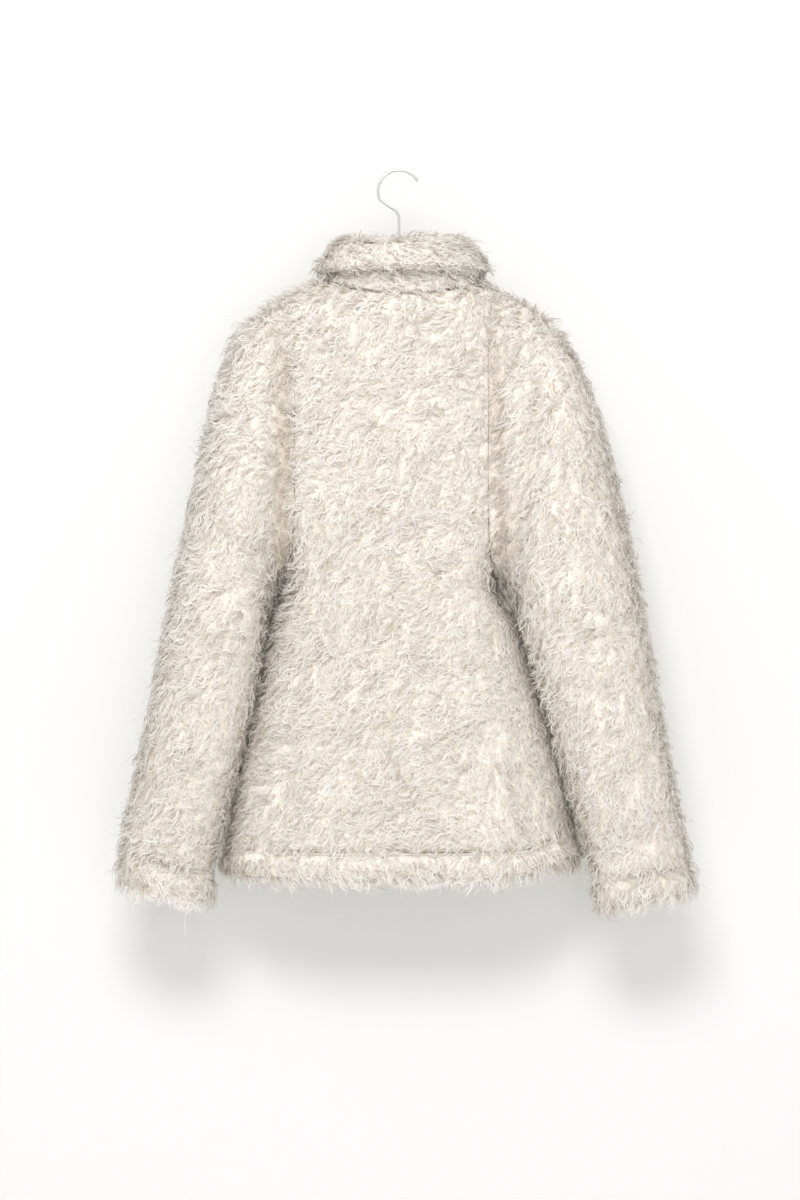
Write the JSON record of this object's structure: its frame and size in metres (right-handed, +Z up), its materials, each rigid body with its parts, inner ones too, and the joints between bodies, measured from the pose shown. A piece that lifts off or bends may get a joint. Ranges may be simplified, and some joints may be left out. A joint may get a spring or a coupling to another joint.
{
  "type": "fluffy cardigan on a hanger",
  "caption": "Long-pile jacket-like cardigan with a turn-down collar, plain sleeves, hem and cuff bands, hung on a wire-hook hanger.",
  "frame": {"origin": "inside top of the hanger's hook, where a rail holds it", "axes": "+Z up, +Y out of the garment's front, -Y out of its back, -X towards the wearer's left"},
  "size_m": [0.6437, 0.1792, 0.8253],
  "materials": {
    "pile": "long curly cream pile, matte",
    "hook_wire": "satin steel wire",
    "hanger_arms": "plain pale matte"
  },
  "bodies": {
    "root": {"back": "pile", "front_left": "pile", "front_right": "pile", "sleeve_left": "pile", "sleeve_right": "pile", "collar": "pile", "hem_back": "pile", "hem_front_left": "pile", "hem_front_right": "pile", "cuff_left": "pile", "cuff_right": "pile", "hanger_hook": "hook_wire", "hanger_bar": "hanger_arms"}
  },
  "joints": []
}
